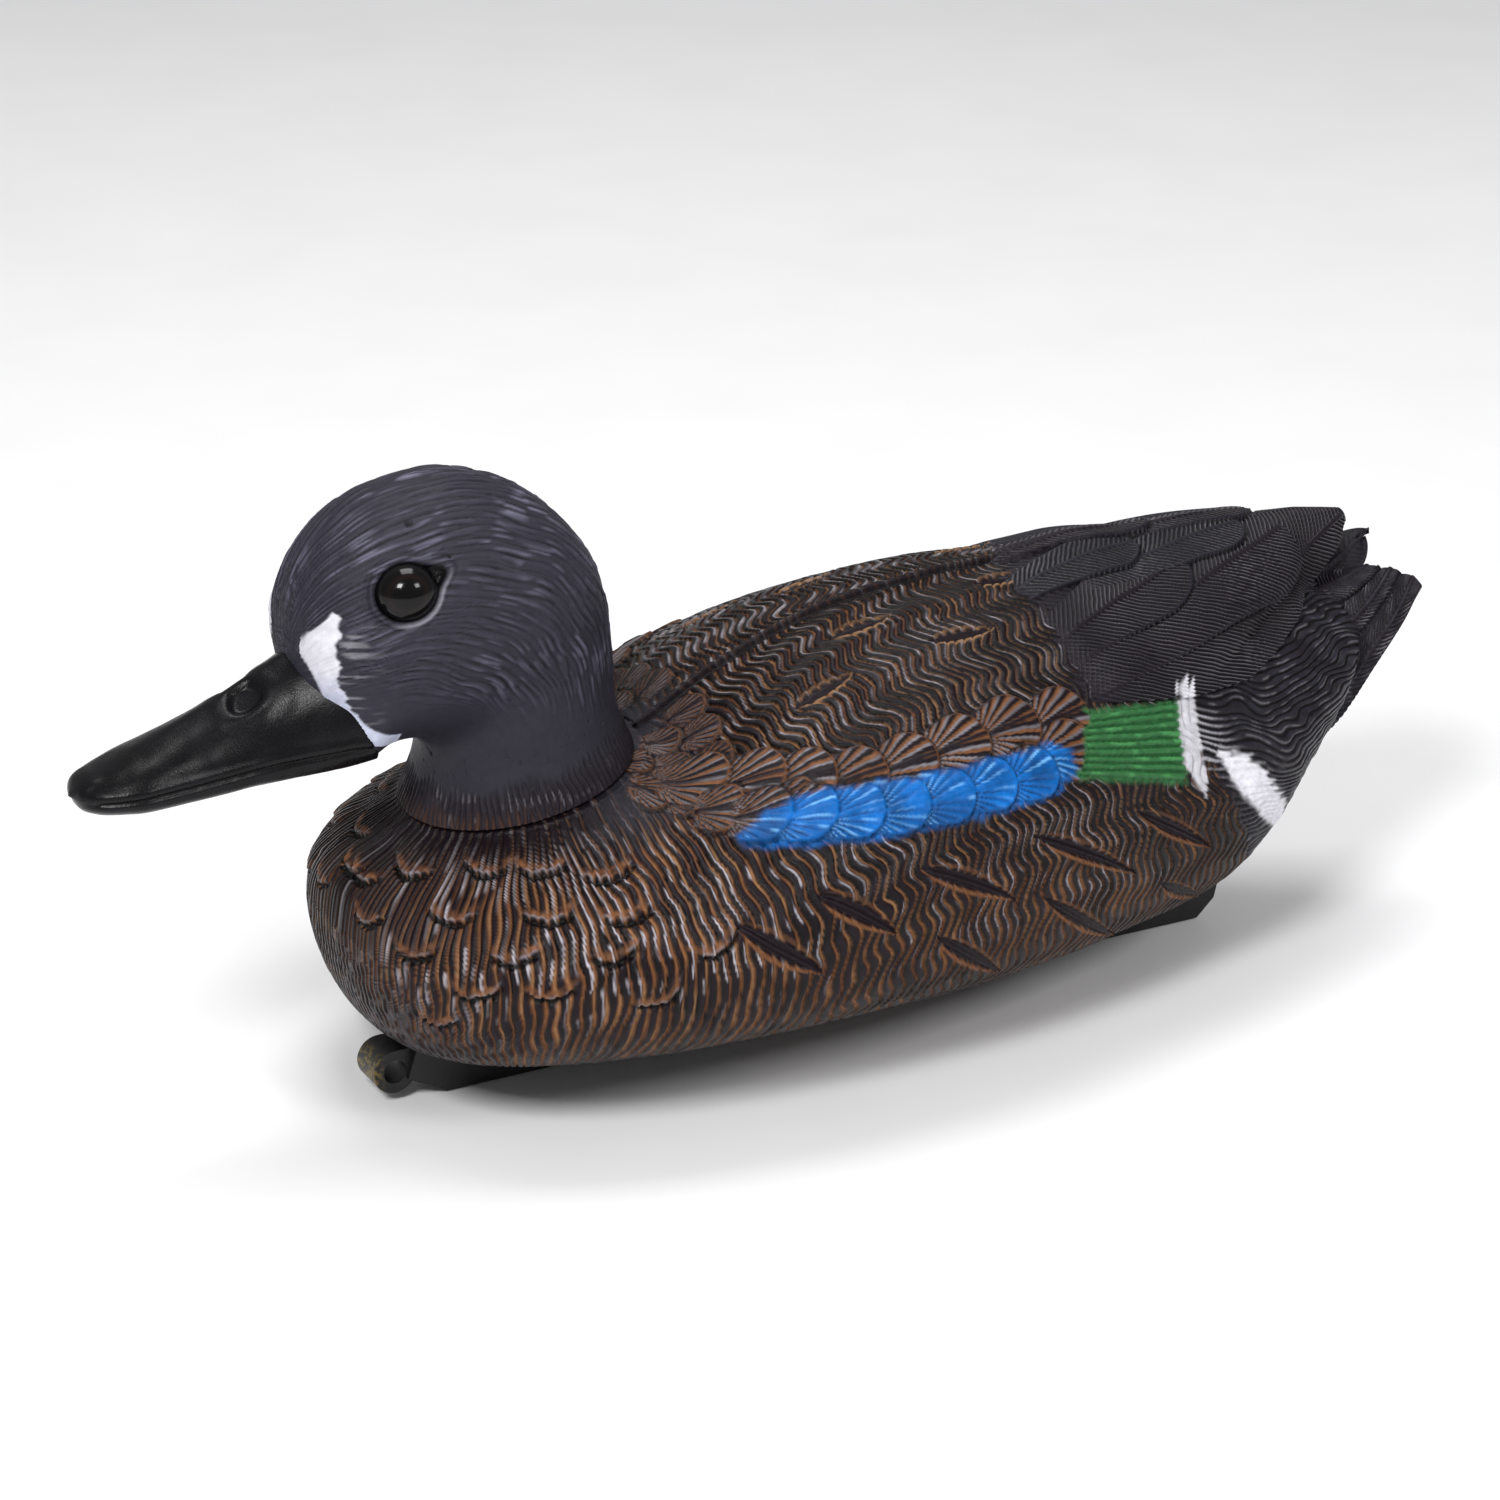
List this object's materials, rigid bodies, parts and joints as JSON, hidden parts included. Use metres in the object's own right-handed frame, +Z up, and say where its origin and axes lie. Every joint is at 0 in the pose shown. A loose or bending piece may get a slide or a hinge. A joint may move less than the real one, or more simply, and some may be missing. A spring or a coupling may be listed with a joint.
{
  "type": "floating duck decoy",
  "caption": "Hollow moulded teal decoy with a swivelling head, feathered body, cocked tail and a ballasted keel with a line-tie lug.",
  "frame": {"origin": "on the ground plane under the middle of the overall box, where the keel's foot stands", "axes": "+X towards the tail (the bill points along -X), +Y to the decoy's own right, +Z up"},
  "size_m": [0.3135, 0.125, 0.1357],
  "materials": {
    "body_paint": "matt flocked-look paint over moulded feathers, orange-brown in the grooves",
    "head_paint": "matt slate paint, light dry brushing, white face crescent",
    "bill_paint": "satin black",
    "wing_paint": "matt charcoal paint over moulded feathers",
    "eye_gloss": "polished black",
    "keel_plastic": "satin black, paint overspray",
    "seal_rubber": "matt",
    "bright_steel": "bright",
    "ballast_iron": "as cast"
  },
  "bodies": {
    "body": {"body_shell": "body_paint", "blow_hole_plug": "keel_plastic", "neck_washer": "seal_rubber", "keel": "keel_plastic", "ballast_bars": "ballast_iron", "keel_screws": "bright_steel", "screw_seals": "seal_rubber"},
    "head": {"head_shell": "head_paint", "left_eye": "eye_gloss", "right_eye": "eye_gloss", "neck_retainer": "bright_steel"}
  },
  "joints": [
    {"name": "head_swivel", "type": "hinge", "parent": "body", "child": "head", "pos_m": [-0.0595, 0, 0.0675], "axis": [-0.2079, 0, 0.9781], "range_deg": [-90, 90]}
  ]
}
